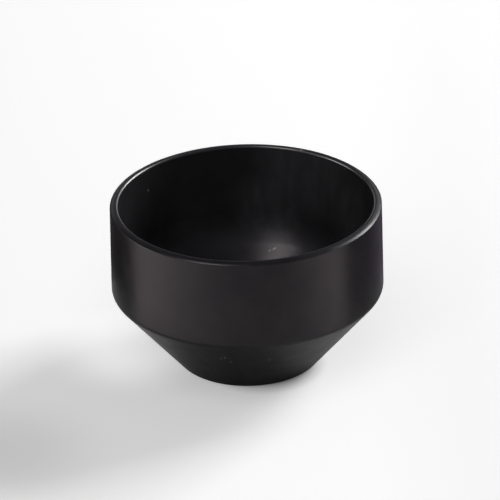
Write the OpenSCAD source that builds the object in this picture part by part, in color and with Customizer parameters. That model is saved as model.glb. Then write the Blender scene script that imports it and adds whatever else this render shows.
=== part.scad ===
// Bowl for mixing hair colour: an upright band over a cone that narrows to a small foot,
// open at the top, with a soft non-slip ring pressed into a groove in its underside.
// Millimetres, +Z up. The origin is the centre of the face that it stands on.

/* [Bowl outside] */
// Outside diameter at the rim
rim_d = 110; // [104:1:125]
// Height from the table to the top of the rim
height = 70; // [62:1:80]
// How far the band leans out from the rim down to the belly
belly_flare = 0.5; // [0.2:0.1:2]
// Height of the belly corner, where the band meets the cone
belly_z = 32.6; // [29:0.2:38]
// Outside diameter at the foot corner
foot_d = 57.6; // [56:0.4:64]
// Radius on the belly corner
belly_edge_r = 3; // [0.5:0.5:6]
// Radius on the foot corner
foot_edge_r = 3; // [1:0.5:4]

/* [Bowl inside] */
// Thickness of the wall at the rim and along the cone
wall = 3.3; // [2.7:0.1:3.6]
// How much the inner wall narrows in radius from the mouth down to the waist
draft = 0.4; // [0:0.1:1]
// Radius of the bend at the waist
waist_r = 20; // [4:1:24]
// Radius of the bend around the floor
floor_r = 16; // [4:1:24]
// Height of the flat floor above the table
floor_z = 4.2; // [4:0.1:6]

/* [Rim] */
// Radius on the inner edge of the rim
lip_r = 0.9; // [0.7:0.1:1.2]
// Width of the level strip next to the inner edge
land_w = 0.2; // [0.1:0.1:0.4]
// Radius of the crown that falls from the level strip to the outer edge
crown_r = 2.9; // [2.6:0.1:6]
// Radius on the outer edge of the rim
rim_edge_r = 0.4; // [0.2:0.1:0.6]

/* [Underside] */
// Diameter of the middle line of the non-slip ring
ring_d = 45; // [44:0.5:46]
// Width of the groove that holds the ring
ring_w = 4; // [3:0.1:4.2]
// Depth of the groove
groove_depth = 1.8; // [1.2:0.1:2]
// How far the ring stands out below the foot
ring_proud = 0.4; // [0.2:0.1:0.8]
// Radius on the ring's two lower edges
ring_edge_r = 0.4; // [0.1:0.1:0.8]
// Diameter of the shallow recess inside the ring
recess_d = 34; // [20:1:36]
// Depth of that recess
recess_depth = 1; // [0.5:0.1:1.2]
// Diameter of the moulding gate's stub in the middle of the recess
gate_d = 3; // [2:0.5:5]
// How far the stub stands down from the recess
gate_h = 0.4; // [0.2:0.1:0.5]

/* [Hidden] */
$fn = 180;

fit_gap = 0.05; // room between the ring's sides and its groove
over = 2;       // how far a cutter runs past what it cuts
seam = 0.0002;  // rounding arcs are this much larger, so that they cross the sides they blend with

rim_r = rim_d / 2;
base_z = ring_proud; // the foot's own face, which the ring lifts off the table

// Corners of the outside, from the foot to the rim
foot = [foot_d / 2, base_z];
belly = [rim_r + belly_flare, belly_z];
rim = [rim_r, height];

function unit(v) = v / norm(v);

// Corners of the cavity. Its cone is parallel to the outside cone, one wall thickness in.
cone_dir = unit(belly - foot);
cone_start = foot + wall * [-cone_dir.y, cone_dir.x];
floor_corner = cone_start + cone_dir * (floor_z - cone_start.y) / cone_dir.y;
waist = cone_start + cone_dir * (rim_r - wall - draft - cone_start.x) / cone_dir.x;
mouth = [rim_r - wall, height];

// A corner b between straight sides towards a and c, and the arc that rounds it
function half_angle(a, b, c) = acos(unit(a - b) * unit(c - b)) / 2;
function arc_centre(a, b, c, r) = b + unit(unit(a - b) + unit(c - b)) * r / sin(half_angle(a, b, c));

// The crown starts level beside the inner edge
crown_centre = [arc_centre(waist, mouth, rim, lip_r).x + land_w, height - crown_r];

// The arc on the outer edge touches the band and the crown from inside. Its centre lies on a line
// parallel to the band, where the circle crown_r - rim_edge_r around the crown's centre meets it.
band_dir = unit(belly - rim);
band_out = [-band_dir.y, band_dir.x];
rim_edge_centre = let (
        start = rim - rim_edge_r * band_out - crown_centre,
        along = start * band_dir,
        back = sqrt(along * along - start * start + pow(crown_r - rim_edge_r, 2))
    ) crown_centre + start - (along + back) * band_dir;

// What rounding a convex corner removes. Directions n1 and n2 point from the arc's centre to the
// arc's two ends.
module arc_waste(centre, r, n1, n2) {
    reach = r + over;
    difference() {
        polygon([
            centre, centre + reach * n1,
            centre + reach * (n1 + n2) / (1 + n1 * n2), centre + reach * n2
        ]);
        translate(centre) circle(r + seam);
    }
}

module corner_waste(a, b, c, r) {
    centre = arc_centre(a, b, c, r);
    cut = r / tan(half_angle(a, b, c));
    arc_waste(centre, r, (b + cut * unit(a - b) - centre) / r, (b + cut * unit(c - b) - centre) / r);
}

module outside_section() {
    foot_centre = [0, base_z];
    difference() {
        polygon([foot_centre, foot, belly, rim, [0, height]]);
        corner_waste(foot_centre, foot, belly, foot_edge_r);
        corner_waste(foot, belly, rim, belly_edge_r);
    }
}

module cavity_section() {
    floor_centre = [0, floor_z];
    difference() {
        polygon([floor_centre, floor_corner, waist, mouth, mouth + [0, over], [0, height + over]]);
        corner_waste(floor_centre, floor_corner, waist, floor_r);
        corner_waste(floor_corner, waist, mouth, waist_r);
    }
}

// What shaping the rim removes from the square-topped wall
module rim_waste() {
    corner_waste(waist, mouth, rim, lip_r);
    difference() {
        translate(crown_centre) square([wall + over, crown_r + over]);
        translate(crown_centre) circle(crown_r);
    }
    arc_waste(rim_edge_centre, rim_edge_r, band_out, unit(rim_edge_centre - crown_centre));
}

module underside_waste() {
    translate([ring_d / 2 - ring_w / 2, base_z - over]) square([ring_w, groove_depth + over]);
    translate([0, base_z - over]) square([recess_d / 2, recess_depth + over]);
}

module bowl() {
    recess_z = base_z + recess_depth;
    color([0.05, 0.05, 0.055]) union() {
        rotate_extrude() difference() {
            outside_section();
            cavity_section();
            rim_waste();
            underside_waste();
        }
        translate([0, 0, recess_z - gate_h]) cylinder(d = gate_d, h = gate_h + (floor_z - recess_z) / 2);
    }
}

module non_slip_ring() {
    inner = ring_d / 2 - ring_w / 2 + fit_gap;
    outer = ring_d / 2 + ring_w / 2 - fit_gap;
    top = base_z + groove_depth;
    color([0.09, 0.09, 0.095]) rotate_extrude() difference() {
        polygon([[inner, 0], [outer, 0], [outer, top], [inner, top]]);
        corner_waste([inner, top], [inner, 0], [outer, 0], ring_edge_r);
        corner_waste([inner, 0], [outer, 0], [outer, top], ring_edge_r);
    }
}

bowl();
non_slip_ring();
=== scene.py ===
import math

import bpy
from mathutils import Euler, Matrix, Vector, noise


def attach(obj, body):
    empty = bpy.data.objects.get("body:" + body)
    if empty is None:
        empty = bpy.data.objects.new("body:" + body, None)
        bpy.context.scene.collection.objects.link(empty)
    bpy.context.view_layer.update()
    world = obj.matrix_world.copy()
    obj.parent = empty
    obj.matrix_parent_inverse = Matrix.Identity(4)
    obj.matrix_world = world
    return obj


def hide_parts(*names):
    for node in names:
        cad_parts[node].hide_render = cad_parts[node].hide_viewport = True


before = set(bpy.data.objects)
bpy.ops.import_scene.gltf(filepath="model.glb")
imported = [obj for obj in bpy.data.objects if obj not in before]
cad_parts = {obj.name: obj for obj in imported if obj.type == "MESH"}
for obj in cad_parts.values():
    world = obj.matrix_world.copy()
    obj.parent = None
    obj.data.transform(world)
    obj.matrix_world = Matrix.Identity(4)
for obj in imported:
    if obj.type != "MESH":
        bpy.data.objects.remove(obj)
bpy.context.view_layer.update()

# ---------------------------------------------------------------- sizes, in millimetres
MM = 0.001
RIM_R = 55.0           # outside radius at the rim
HEIGHT = 70.0
WALL = 3.3
FOOT_Z = 0.4           # the ring lifts the foot's own face by this much
FOOT_R, FOOT_EDGE_R = 28.8, 3.0
BELLY_R, BELLY_Z, BELLY_EDGE_R = 55.5, 32.6, 3.0
FLOOR_Z, FLOOR_BEND_R = 4.2, 16.0
WAIST_R, WAIST_BEND_R = 51.3, 20.0
LIP_R = 0.9            # radius on the rim's inner edge
LEVEL_W = 0.2          # width of the level strip beside it
CROWN_R = 2.9          # radius of the crown that falls to the outer edge
CROWN_STOP = 0.1       # the crown's steepest slope is taken this far inside the outer edge
RIM_EDGE_R = 0.4       # radius on the rim's outer edge
GROOVE_IN, GROOVE_OUT, GROOVE_TOP = 20.5, 24.5, 2.2
RECESS_R, RECESS_TOP = 17.0, 1.4
GATE_R, GATE_Z = 1.5, 1.0
RING_IN, RING_OUT, RING_TOP = 20.55, 24.45, 2.18
RING_EDGE_R, RING_TOP_R = 0.4, 0.1
SHARP_R = 0.15         # how much a moulded corner that looks sharp is rounded

AROUND = 288           # faces around the bowl
SPACING = 1.6          # longest face along a straight stretch of the outline
ARC_STEP = math.radians(7)
ARC_STEPS_MIN = 4
ON_AXIS = 1e-6         # a point closer to the axis than this lies on it
WAVE = 0.06            # how far the moulding strays from a true circle
WAVE_PITCH = 34.0

# ---------------------------------------------------------------- the photograph's view
ELEVATION = 27.15      # of the camera above the horizontal, in degrees
DISTANCE = 1.652       # from the camera to the point it looks at, in metres
ROLL = math.radians(1.28)
LENS = 292.8
SENSOR = 36
VIEW_END = 20
AIM = Vector((0.0013, 0.0, 0.0479))

# ---------------------------------------------------------------- the surfaces
# linear colours
BLACK = (0.0082, 0.0080, 0.0105, 1)
CLOUDED = (0.0168, 0.0149, 0.0160, 1)
DULLED = (0.022, 0.0205, 0.0226, 1)      # the inside, which stirring has dulled
PAINTED_LIGHT = (0.062, 0.058, 0.064, 1)         # painted light: the palest parts of the inside
SPECK = (0.22, 0.21, 0.205, 1)
SCUFF = (0.34, 0.32, 0.32, 1)
RUBBER_DARK = (0.018, 0.018, 0.019, 1)
RUBBER_PALE = (0.05, 0.048, 0.046, 1)
# how fine the patterns are, in cells per metre
CLOUD_SCALE, SMUDGE_SCALE, BLOTCH_SCALE = 38, 120, 170
STREAK_SCALE, STREAK_STRETCH = 330, (1, 1, 0.25)
DUST_SCALE = 150.0
RIPPLE_SCALE, GRAIN_SCALE = 300, 3600
RUBBER_CLOUD_SCALE, RUBBER_WEAR_SCALE, RUBBER_GRAIN_SCALE = 220, 500, 2600
# how deep they are, in metres
RIPPLE_DEPTH, GRAIN_DEPTH, RUBBER_GRAIN_DEPTH = 0.00003, 0.00002, 0.00005
# roughness where the surface is smooth and where it is smudged
SMOOTH, SMUDGED = 0.28, 0.37
RUBBER_SMOOTH, RUBBER_WORN = 0.62, 0.82
SHINE, LIP_SHINE = 0.5, 1.0              # strength of the reflections, and on the rim's inner edge
DUST_SHARE = 0.02      # the part of the cells that hold a speck
DUST_SMALL, DUST_LARGE = 0.02, 0.055     # radius of a speck, in cells
DULL_SHADE_FROM, DULL_SHADE_TO = 0.022, 0.042        # heights between which the dulling sets in, in metres; below them painted shade keeps the inside darker
DULL_SHADE_LOW = 0.2         # how much of the dulling is left below them, where the inside is painted darker as shade
INSIDE_FROM = 0.7      # the inside begins this deep, as a share of the wall, counted from outside
MARK_CORE = 0.5        # the part of a mark's radius that has its full strength
POLISH_EDGE = 0.3      # width over which the lip's polish fades, in millimetres

# small marks: azimuth in degrees, distance from the axis, height and radius in millimetres
DUST_MARKS = (
    (153.5, 52.3, 69.8, 0.7), (-129, 51.8, 59.9, 0.6), (10, 46.7, 22.0, 0.5), (-11.5, 48.5, 24.1, 0.5),
    (-9, 45.9, 21.0, 0.4), (-13.5, 47.8, 23.2, 0.45),
)
SCUFF_MARKS = (
    (165.4, 45.6, 25.6, 0.6), (164.7, 45.8, 25.9, 0.45), (166.1, 45.4, 25.2, 0.45),
    (167.6, 45.1, 24.9, 0.5), (168.4, 44.8, 24.5, 0.4),
)
# painted light: pale patches on the inside, given like the marks above
PAINTED_LIGHT_PATCHES = ((150, 51.8, 62, 26), (122, 51.6, 50, 18), (168, 51.6, 44, 18))

# ---------------------------------------------------------------- the studio, in metres
WHITE = (1.0, 1.0, 1.0, 1)
WARM = (1.0, 0.885, 0.905, 1)
BLUSH = (1.0, 0.92, 0.96, 1)
PLUM = (1.0, 0.84, 1.1, 1)
COOL = (0.86, 0.80, 1.0, 1)

FLOOR_SIZE = 8.0
PAPER = 0.9                            # how much light the floor's paper gives back
PAPER_DIM, PAPER_BRIGHT = 0.27, 0.70   # the part of it that reflections show, in front and beside
DIM_TO, BRIGHT_FROM = 0.01, 0.045      # distances to either side where those two hold
PAPER_GLOW = 0.36
FALL_FROM, FALL_TO = 0.05, 0.1         # reflections show the paper darker again past here
FALL_SIDES, FALL_RIGHT = 0.7, 0.6
EDGE_FROM, EDGE_TO, EDGE_LEVEL = 0.045, 0.09, 0.95  # painted shade makes the paper a little darker on the right
CONTACT = Vector((0.006, -0.009, 0))   # middle of the soft shadow under the foot
CONTACT_DARK, CONTACT_END = 0.0165, 0.026
CONTACT_POWER = 0.5
FAR_SHADE = Vector((-0.1, -0.078, 0))  # middle of the deepest part of the cast shadow
FAR_SHADE_R, FAR_SHADE_LEVEL = 0.058, 0.84
BOUNCE = Vector((-0.048, 0.005, 0))    # middle of the light that the bowl's side throws on the floor
BOUNCE_R, BOUNCE_GLOW = 0.045, 0.22
SKY = 0.13
SKY_IN_REFLECTIONS = 0.07
CARD_R, CARD_H = 0.108, 0.08
CARD_STEPS = 72
PLUM_FROM, PLUM_TO = 1.3, 1.8          # azimuths in radians between which the cards turn plum
# the cards' brightness from the camera's left round to its right, by azimuth in degrees
CARD_LIGHT = (
    (-142, 0.0), (-130, 0.07), (-112, 0.0), (-88, 0.0), (-80, 0.82), (-70, 0.95), (-60, 0.92),
    (-50, 0.82), (-38, 0.68), (-28, 0.54), (-18, 0.42), (-8, 0.31), (5, 0.26), (15, 0.24), (30, 0.32),
    (46, 0.66), (60, 0.93), (67, 0.68), (72, 0.03), (95, 0.04), (108, 0.11), (126, 0.17), (138, 0.0),
)


def toward(azimuth, elevation):
    """Unit vector out from the object. Azimuth 0 is the camera's side, and 90 is +X."""
    a, e = math.radians(azimuth), math.radians(elevation)
    return Vector((math.sin(a) * math.cos(e), -math.cos(a) * math.cos(e), math.sin(e)))


def tinted(color, level):
    return [level * part for part in color[:3]] + [1]


def link(name, data):
    made = bpy.data.objects.new(name, data)
    bpy.context.collection.objects.link(made)
    return made


# ---------------------------------------------------------------- turned shapes
def arc_points(before, corner, after, radius):
    """Points of the arc that rounds a corner, and nothing but the corner if its radius is 0."""
    if radius == 0:
        return [corner]
    u, v = (before - corner).normalized(), (after - corner).normalized()
    half = u.angle(v) / 2
    centre = corner + (u + v).normalized() * (radius / math.sin(half))
    start = corner + u * (radius / math.tan(half)) - centre
    turn = math.pi - 2 * half
    steps = max(ARC_STEPS_MIN, math.ceil(turn / ARC_STEP))
    if start.cross(v) < 0:
        turn = -turn
    points = []
    for i in range(steps + 1):
        a = turn * i / steps
        points.append(centre + Vector((
            start.x * math.cos(a) - start.y * math.sin(a),
            start.x * math.sin(a) + start.y * math.cos(a),
        )))
    return points


def spaced(a, b):
    """Points between a and b, close to each end and at most SPACING apart in the middle."""
    length = (b - a).length
    if length < 4 * SHARP_R:
        return []
    inner = max(1, math.ceil((length - 2 * SHARP_R) / SPACING))
    cuts = [SHARP_R + (length - 2 * SHARP_R) * i / inner for i in range(inner + 1)]
    return [a + (b - a) * (c / length) for c in cuts]


def outline(corners, closed):
    """A dense outline from corners of (radius from the axis, height, rounding)."""
    spots = [Vector(c[:2]) for c in corners]
    count = len(corners)
    arcs = []
    for i, corner in enumerate(corners):
        ends = not closed and i in (0, count - 1)
        rounding = 0 if ends else corner[2]
        arcs.append(arc_points(spots[i - 1], spots[i], spots[(i + 1) % count], rounding))
    points = []
    for i, arc in enumerate(arcs):
        points += arc
        if closed or i < count - 1:
            points += spaced(arc[-1], arcs[(i + 1) % count][0])
    return points


def wave(x, y, z):
    """How far a point of the moulding lies inside its true place, from 0 to 1."""
    return 0.5 + 0.5 * noise.noise(Vector((x, y, z)) / WAVE_PITCH)


def turned(name, corners, closed, material, stray):
    """A solid of revolution about Z. An outline that starts and ends on the axis closes itself there."""
    verts, rings = [], []
    for p in outline(corners, closed):
        if p.x < ON_AXIS:
            rings.append([len(verts)])
            verts.append((0, 0, p.y * MM))
            continue
        rings.append(list(range(len(verts), len(verts) + AROUND)))
        for i in range(AROUND):
            a = 2 * math.pi * i / AROUND
            x, y = p.x * math.cos(a), p.x * math.sin(a)
            inward = stray * wave(x, y, p.y)
            shrink = 1 - inward / RIM_R
            drop = inward * max(0.0, (p.y - BELLY_Z) / (HEIGHT - BELLY_Z))
            verts.append((x * shrink * MM, y * shrink * MM, (p.y - drop) * MM))
    faces = []
    pairs = list(zip(rings, rings[1:])) + ([(rings[-1], rings[0])] if closed else [])
    for low, high in pairs:
        for i in range(AROUND):
            j = (i + 1) % AROUND
            if len(low) == 1:
                faces.append((low[0], high[j], high[i]))
            elif len(high) == 1:
                faces.append((low[i], low[j], high[0]))
            else:
                faces.append((low[i], low[j], high[j], high[i]))
    mesh = bpy.data.meshes.new(name)
    mesh.from_pydata(verts, [], faces)
    mesh.validate()
    mesh.shade_smooth()
    mesh.materials.append(material)
    return link(name, mesh)


def bowl_corners():
    """The bowl's section, from the middle of its underside, out, up, over the rim and down inside."""
    foot, belly = Vector((FOOT_R, FOOT_Z)), Vector((BELLY_R, BELLY_Z))
    cone = (belly - foot).normalized()
    start = foot + WALL * Vector((-cone.y, cone.x))
    floor_x = start.x + (FLOOR_Z - start.y) * cone.x / cone.y
    waist_z = start.y + (WAIST_R - start.x) * cone.y / cone.x
    mouth_x = RIM_R - WALL
    # the crown is an arc from the level strip down to the band, so its two tangents meet in a corner
    arc_x = mouth_x + LIP_R + LEVEL_W
    fall = math.asin((RIM_R - CROWN_STOP - arc_x) / CROWN_R)
    crown_x = arc_x + CROWN_R * math.tan(fall / 2)
    band_z = HEIGHT - (RIM_R - crown_x) * math.tan(fall)
    edge_x = RIM_R + (BELLY_R - RIM_R) * (HEIGHT - band_z) / (HEIGHT - BELLY_Z)
    edge_z = HEIGHT - (edge_x - crown_x) * math.tan(fall)
    return [
        (0, GATE_Z, 0),
        (GATE_R, GATE_Z, SHARP_R), (GATE_R, RECESS_TOP, SHARP_R),
        (RECESS_R, RECESS_TOP, SHARP_R), (RECESS_R, FOOT_Z, SHARP_R),
        (GROOVE_IN, FOOT_Z, SHARP_R), (GROOVE_IN, GROOVE_TOP, SHARP_R),
        (GROOVE_OUT, GROOVE_TOP, SHARP_R), (GROOVE_OUT, FOOT_Z, SHARP_R),
        (FOOT_R, FOOT_Z, FOOT_EDGE_R), (BELLY_R, BELLY_Z, BELLY_EDGE_R),
        (edge_x, edge_z, RIM_EDGE_R), (crown_x, HEIGHT, CROWN_R),
        (mouth_x, HEIGHT, LIP_R),
        (WAIST_R, waist_z, WAIST_BEND_R), (floor_x, FLOOR_Z, FLOOR_BEND_R),
        (0, FLOOR_Z, 0),
    ]


def ring_corners():
    return [
        (RING_IN, 0, RING_EDGE_R), (RING_OUT, 0, RING_EDGE_R),
        (RING_OUT, RING_TOP, RING_TOP_R), (RING_IN, RING_TOP, RING_TOP_R),
    ]


# ---------------------------------------------------------------- materials
class Nodes:
    """A material's node tree, with short calls to add nodes."""

    def __init__(self, name):
        self.material = bpy.data.materials.new(name)
        self.material.use_nodes = True
        self.tree = self.material.node_tree
        self.shader = self.tree.nodes["Principled BSDF"]
        self.place = self.add("ShaderNodeTexCoord").outputs["Object"]
        split = self.add("ShaderNodeSeparateXYZ")
        self.feed(split, Vector=self.place)
        self.across, self.deep, self.height = split.outputs

    def add(self, kind, **settings):
        node = self.tree.nodes.new(kind)
        for key, value in settings.items():
            setattr(node, key, value)
        return node

    def put(self, socket, value):
        """Link another node's output to a socket, or set the socket to a plain value."""
        if isinstance(value, bpy.types.NodeSocket):
            self.tree.links.new(value, socket)
        else:
            socket.default_value = value

    def feed(self, node, **values):
        for key, value in values.items():
            self.put(node.inputs[key.replace("_", " ")], value)

    def math(self, operation, a, b=0.0, c=0.0):
        node = self.add("ShaderNodeMath", operation=operation)
        for socket, value in zip(node.inputs, (a, b, c)):
            self.put(socket, value)
        return node.outputs[0]

    def stretched(self, scale):
        node = self.add("ShaderNodeMapping")
        self.feed(node, Vector=self.place, Scale=scale)
        return node.outputs[0]

    def noise(self, scale, detail=2.0, roughness=0.5, where=None, distortion=0.0):
        node = self.add("ShaderNodeTexNoise")
        self.feed(node, Vector=where or self.place, Scale=scale, Detail=detail,
                  Roughness=roughness, Distortion=distortion)
        return node.outputs["Fac"]

    def distance(self, point):
        node = self.add("ShaderNodeVectorMath", operation="DISTANCE")
        self.put(node.inputs[0], self.place)
        self.put(node.inputs[1], point)
        return node.outputs["Value"]

    def from_axis(self):
        node = self.add("ShaderNodeVectorMath", operation="LENGTH")
        self.put(node.inputs[0], self.stretched((1, 1, 0)))
        return node.outputs["Value"]

    def ramp(self, value, low, high, to_low=0.0, to_high=1.0, kind="LINEAR"):
        node = self.add("ShaderNodeMapRange", interpolation_type=kind)
        self.feed(node, Value=value, From_Min=low, From_Max=high, To_Min=to_low, To_Max=to_high)
        return node.outputs["Result"]

    def mix(self, factor, first, second, blend="MIX"):
        node = self.add("ShaderNodeMix", data_type="RGBA", blend_type=blend)
        # a mix node has a set of sockets for each data type, and colours use these
        for index, value in ((0, factor), (6, first), (7, second)):
            self.put(node.inputs[index], value)
        return node.outputs[2]

    def bump(self, height, distance, strength=1.0, under=None):
        node = self.add("ShaderNodeBump")
        self.feed(node, Height=height, Distance=distance, Strength=strength)
        if under:
            self.feed(node, Normal=under)
        return node.outputs["Normal"]


def marks(n, places):
    """1 at the middle of each mark, and 0 outside them all."""
    total = 0.0
    for azimuth, radius, z, size in places:
        gap = n.distance(MM * (radius * toward(azimuth, 0) + Vector((0, 0, z))))
        total = n.math("MAXIMUM", total, n.ramp(gap, MARK_CORE * size * MM, size * MM, 1, 0))
    return total


def inside_mask(n):
    """1 on the inside of the bowl, and 0 on its outside and its underside."""
    slope = (BELLY_R - FOOT_R) / (BELLY_Z - FOOT_Z)
    outer = n.math("MULTIPLY_ADD", n.height, slope, (FOOT_R - slope * FOOT_Z) * MM)
    depth = n.math("SUBTRACT", n.math("MINIMUM", outer, RIM_R * MM), n.from_axis())
    through_wall = n.ramp(depth, INSIDE_FROM * WALL * MM, WALL * MM)
    return n.math("MULTIPLY", through_wall, n.ramp(n.height, 0.5 * FLOOR_Z * MM, 0.9 * FLOOR_Z * MM))


def lip_mask(n):
    """1 on the rim's inner edge, which the brush has polished."""
    top = (HEIGHT - LIP_R) * MM
    edge = (RIM_R - WALL + LIP_R) * MM
    beside = n.ramp(n.from_axis(), edge - POLISH_EDGE * MM, edge, 1, 0)
    return n.math("MULTIPLY", beside, n.ramp(n.height, top - POLISH_EDGE * MM, top))


def dust(n):
    """1 on a small round speck in few of the cells, and on the specks that stand out."""
    cells = n.add("ShaderNodeTexVoronoi")
    n.feed(cells, Vector=n.place, Scale=DUST_SCALE)
    parts = n.add("ShaderNodeSeparateColor")
    n.feed(parts, Color=cells.outputs["Color"])
    picked = n.math("LESS_THAN", parts.outputs[0], DUST_SHARE)
    size = n.ramp(parts.outputs[1], 0, 1, DUST_SMALL, DUST_LARGE)
    speck = n.math("MULTIPLY", n.math("LESS_THAN", cells.outputs["Distance"], size), picked)
    return n.math("MAXIMUM", speck, marks(n, DUST_MARKS))


def bowl_plastic():
    n = Nodes("bowl_plastic")
    cloud = n.noise(CLOUD_SCALE)
    blotch = n.noise(BLOTCH_SCALE)
    clouding = n.ramp(n.math("ADD", cloud, n.math("MULTIPLY", blotch, 0.6)), 0.6, 1.1)
    base = n.mix(clouding, BLACK, CLOUDED)

    inside = inside_mask(n)
    # painted shade: the inside is dulled less, so darker, lower down
    dull_and_shade_by_height = n.ramp(n.height, DULL_SHADE_FROM, DULL_SHADE_TO, DULL_SHADE_LOW, 1)
    worn_and_shaded = n.math("MULTIPLY", n.ramp(blotch, 0.3, 0.7, 0.6, 1), dull_and_shade_by_height)
    base = n.mix(n.math("MULTIPLY", inside, worn_and_shaded), base, DULLED)
    # painted light: pale, streaked patches on the inside where more light falls
    streak = n.ramp(n.noise(STREAK_SCALE, 3, 0.6, n.stretched(STREAK_STRETCH)), 0.35, 0.65, 0.35, 0.65)
    painted_light_mask = n.math("MULTIPLY", marks(n, PAINTED_LIGHT_PATCHES), n.math("MULTIPLY", inside, streak))
    base = n.mix(painted_light_mask, base, PAINTED_LIGHT)
    base = n.mix(dust(n), base, SPECK)
    base = n.mix(marks(n, SCUFF_MARKS), base, SCUFF)

    smudge = n.noise(SMUDGE_SCALE, 3, 0.55, distortion=0.4)
    grain = n.bump(n.noise(GRAIN_SCALE, 2, 0.6), GRAIN_DEPTH, 0.35)
    ripple = n.bump(n.noise(RIPPLE_SCALE, 3), RIPPLE_DEPTH, 0.3, grain)
    polished = lip_mask(n)
    n.feed(n.shader, Base_Color=base, Roughness=n.ramp(smudge, 0.3, 0.75, SMOOTH, SMUDGED), Normal=ripple,
           Specular_IOR_Level=n.ramp(polished, 0, 1, SHINE, LIP_SHINE), IOR=1.5,
           Coat_Weight=polished, Coat_Roughness=SMOOTH)
    return n.material


def ring_rubber():
    n = Nodes("ring_rubber")
    wear = n.noise(RUBBER_WEAR_SCALE, 3)
    n.feed(n.shader, Base_Color=n.mix(n.noise(RUBBER_CLOUD_SCALE, 4), RUBBER_DARK, RUBBER_PALE),
           Roughness=n.ramp(wear, 0.3, 0.7, RUBBER_SMOOTH, RUBBER_WORN),
           Normal=n.bump(n.noise(RUBBER_GRAIN_SCALE, 3), RUBBER_GRAIN_DEPTH, 0.6))
    return n.material


# ---------------------------------------------------------------- stage
def make_camera():
    data = bpy.data.cameras.new("camera")
    data.sensor_width = SENSOR
    data.lens = LENS
    data.clip_end = VIEW_END
    camera = link("camera", data)
    back = toward(0, ELEVATION)
    camera.location = AIM + DISTANCE * back
    camera.rotation_mode = "QUATERNION"
    camera.rotation_quaternion = back.to_track_quat("Z", "Y") @ Euler((0, 0, -ROLL)).to_quaternion()
    bpy.context.scene.camera = camera


def floor_paper():
    """Pale paper, with the soft shadow and the thrown light around the foot as part of it."""
    n = Nodes("floor_paper")
    sideways = n.math("ABSOLUTE", n.across)
    mirrored = n.ramp(sideways, DIM_TO, BRIGHT_FROM, PAPER * PAPER_DIM, PAPER * PAPER_BRIGHT)
    mirrored = n.math("MULTIPLY", mirrored, n.ramp(sideways, FALL_FROM, FALL_TO, 1, FALL_SIDES))
    mirrored = n.math("MULTIPLY", mirrored, n.ramp(n.across, FALL_FROM, FALL_TO, 1, FALL_RIGHT))
    reflected = n.add("ShaderNodeLightPath").outputs["Is Glossy Ray"]
    color = n.math("MULTIPLY_ADD", reflected, n.math("SUBTRACT", mirrored, PAPER), PAPER)

    shade = n.math("POWER", n.ramp(n.distance(CONTACT), CONTACT_DARK, CONTACT_END), CONTACT_POWER)
    far_shade = n.ramp(n.distance(FAR_SHADE), 0.0, FAR_SHADE_R, FAR_SHADE_LEVEL, 1, "SMOOTHERSTEP")
    shade = n.math("MULTIPLY", shade, far_shade)
    shade = n.math("MULTIPLY", shade, n.ramp(n.across, EDGE_FROM, EDGE_TO, 1, EDGE_LEVEL))

    bounce = n.ramp(n.distance(BOUNCE), 0.0, BOUNCE_R, BOUNCE_GLOW, 0, "SMOOTHERSTEP")
    direct = n.math("SUBTRACT", 1, reflected)
    glow = n.math("MULTIPLY", n.math("MULTIPLY_ADD", direct, PAPER_GLOW, bounce), shade)
    n.feed(n.shader, Base_Color=n.math("MULTIPLY", color, shade), Roughness=1.0, Specular_IOR_Level=0.0,
           Emission_Color=WHITE, Emission_Strength=glow)
    return n.material


def make_floor():
    mesh = bpy.data.meshes.new("floor")
    s = FLOOR_SIZE / 2
    mesh.from_pydata([(-s, -s, 0), (s, -s, 0), (s, s, 0), (-s, s, 0)], [], [(0, 1, 2, 3)])
    mesh.materials.append(floor_paper())
    link("floor", mesh)


def soft_light(name, azimuth, elevation, distance, size, power,
               on_paper=True, in_reflections=True, tint=WHITE):
    """A square lamp, with its azimuth and elevation in degrees, and its power in watts."""
    data = bpy.data.lights.new(name, "AREA")
    data.shape = "SQUARE"
    data.size = size
    data.energy = power
    data.color = tint[:3]
    light = link(name, data)
    out = toward(azimuth, elevation)
    light.location = AIM + distance * out
    light.rotation_mode = "QUATERNION"
    light.rotation_quaternion = out.to_track_quat("Z", "Y")
    light.visible_diffuse = on_paper
    light.visible_glossy = in_reflections


def card_light():
    """A glow that follows CARD_LIGHT round the bowl."""
    n = Nodes("cards")
    n.tree.nodes.remove(n.shader)
    turn = n.math("ARCTAN2", n.across, n.math("MULTIPLY", n.deep, -1))
    ramp = n.add("ShaderNodeValToRGB")
    n.feed(ramp, Fac=n.ramp(turn, -math.pi, math.pi))
    stops = ramp.color_ramp.elements
    while len(stops) < len(CARD_LIGHT):
        stops.new(0.5)
    for stop, (azimuth, level) in zip(stops, CARD_LIGHT):
        stop.position = azimuth / 360 + 0.5
        stop.color = tinted(WHITE, level)
    tint = n.mix(n.ramp(turn, PLUM_FROM, PLUM_TO), WARM, PLUM)
    glow = n.add("ShaderNodeEmission")
    n.feed(glow, Color=n.mix(1.0, ramp.outputs["Color"], tint, "MULTIPLY"))
    n.put(n.tree.nodes["Material Output"].inputs["Surface"], glow.outputs[0])
    return n.material


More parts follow.
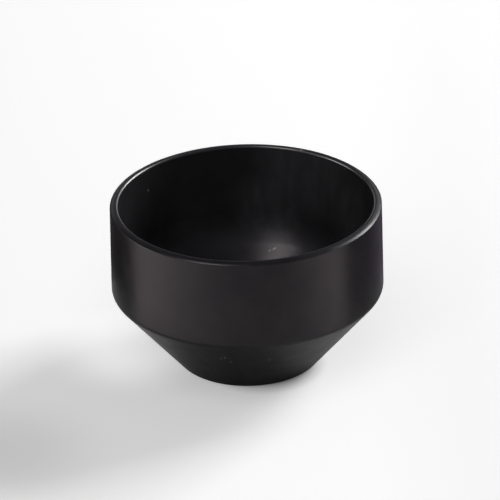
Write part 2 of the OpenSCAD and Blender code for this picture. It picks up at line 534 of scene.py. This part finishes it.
def make_cards():
    """White cards that stand round the bowl and are seen only in its reflections."""
    verts, faces = [], []
    for i in range(CARD_STEPS):
        out = CARD_R * toward(360 * i / CARD_STEPS, 0)
        verts += [out, out + Vector((0, 0, CARD_H))]
        j = (i + 1) % CARD_STEPS
        faces.append((2 * i, 2 * j, 2 * j + 1, 2 * i + 1))
    mesh = bpy.data.meshes.new("cards")
    mesh.from_pydata(verts, [], faces)
    mesh.materials.append(card_light())
    cards = link("cards", mesh)
    for ray in ("camera", "diffuse", "shadow", "transmission", "volume_scatter"):
        setattr(cards, "visible_" + ray, False)


def make_world():
    """A dim even sky, which reflections show dimmer and cooler."""
    world = bpy.data.worlds.new("studio")
    world.use_nodes = True
    tree = world.node_tree
    ray = tree.nodes.new("ShaderNodeLightPath")
    color = tree.nodes.new("ShaderNodeMix")
    color.data_type = "RGBA"
    tree.links.new(ray.outputs["Is Glossy Ray"], color.inputs[0])
    color.inputs[6].default_value = tinted(WHITE, SKY)
    color.inputs[7].default_value = tinted(COOL, SKY_IN_REFLECTIONS)
    tree.links.new(color.outputs[2], tree.nodes["Background"].inputs["Color"])
    bpy.context.scene.world = world


bpy.context.scene.view_settings.view_transform = "Standard"
make_camera()
make_floor()
make_world()
make_cards()
soft_light("key", 127, 28, 2.2, 0.95, 41, in_reflections=False)
soft_light("key_glint", 124, 28, 2.0, 0.9, 17, on_paper=False)
soft_light("lip_glint", 112, 18, 1.5, 0.5, 6, on_paper=False)
soft_light("front_fill", -14, 48, 1.5, 1.2, 6, in_reflections=False)
soft_light("lamp", -44, 55, 1.0, 0.34, 1.8, on_paper=False, tint=BLUSH)
soft_light("lamp_low", -34, 28, 1.0, 0.4, 0.5, on_paper=False, tint=BLUSH)
soft_light("side", -90, 10, 1.0, 0.5, 4, on_paper=False)
soft_light("back_glow", 146, 18, 1.0, 0.8, 1.35, on_paper=False)
soft_light("back_left", -160, 5, 1.0, 0.6, 0.55, on_paper=False)

bowl = turned("bowl_moulding", bowl_corners(), False, bowl_plastic(), WAVE)
ring = turned("grip_ring", ring_corners(), True, ring_rubber(), 0.0)
for piece, node, slot in ((bowl, "bowl", "bowl_plastic"), (ring, "non_slip_ring", "ring_rubber")):
    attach(piece, "root")
    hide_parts(node)
